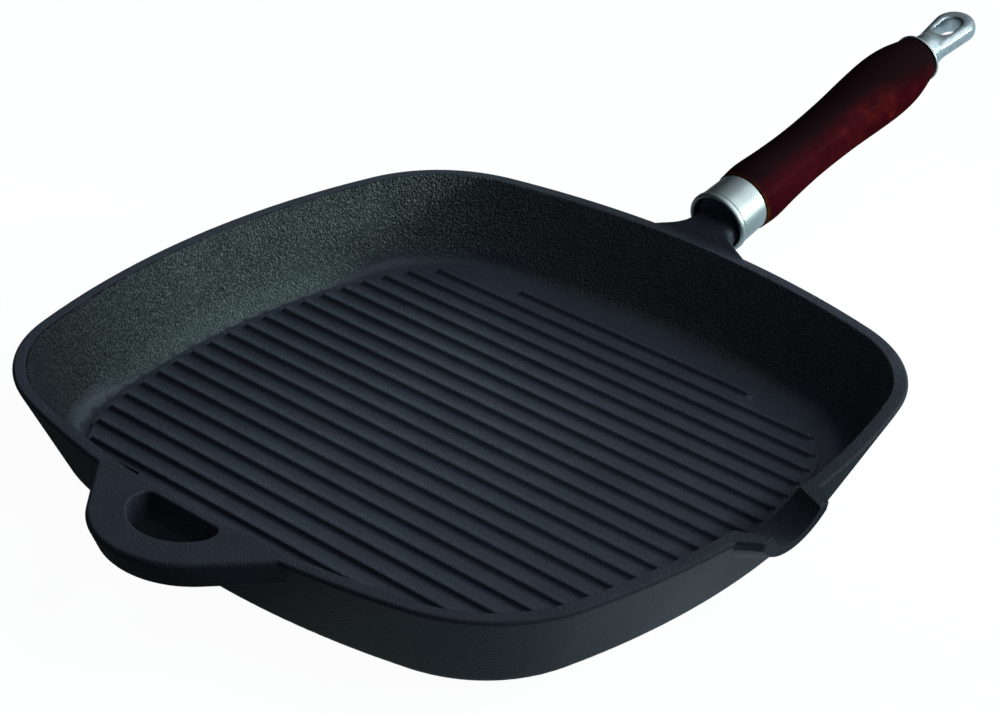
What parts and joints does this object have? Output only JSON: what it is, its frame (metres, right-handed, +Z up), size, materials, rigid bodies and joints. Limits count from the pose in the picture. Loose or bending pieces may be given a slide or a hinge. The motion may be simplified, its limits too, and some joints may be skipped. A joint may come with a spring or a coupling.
{
  "type": "grill pan",
  "caption": "Square cast-iron grill pan with a ribbed floor, pour spout, helper loop and turned wooden handle ending in a screwed hanging eye.",
  "frame": {"origin": "middle of the flat underside of the bowl, on the plane the pan stands on", "axes": "+Z up out of the bowl, +Y towards the handle, -Y towards the helper loop, +X towards the pour spout, ribs along X"},
  "size_m": [0.2864, 0.4929, 0.0837],
  "materials": {
    "cast_iron": "matte, fine sand-cast grain, lightly seasoned",
    "satin_metal": "satin",
    "lacquered_wood": "dark red lacquer, soft gloss",
    "rod_steel": "plain drawn steel"
  },
  "bodies": {
    "pan": {"pan_casting": "cast_iron", "ferrule": "satin_metal", "grip": "lacquered_wood"},
    "collar": {"end_collar": "satin_metal"},
    "eye_bolt": {"hanging_eye": "satin_metal", "tie_rod": "rod_steel"}
  },
  "joints": [
    {"name": "handle_bolt_travel", "type": "slide", "parent": "pan", "child": "collar", "axis": [0, 0.9765, 0.2154], "range_m": [0, 0.011]},
    {"name": "hanging_eye_turn", "type": "hinge", "parent": "collar", "child": "eye_bolt", "pos_m": [0, 0.1491, 0.0417], "axis": [0, 0.9765, 0.2154], "range_deg": [0, 3960]}
  ],
  "couplings": [
    {"joint": "hanging_eye_turn", "follows": "handle_bolt_travel", "rad_per_m": 6283.2}
  ]
}
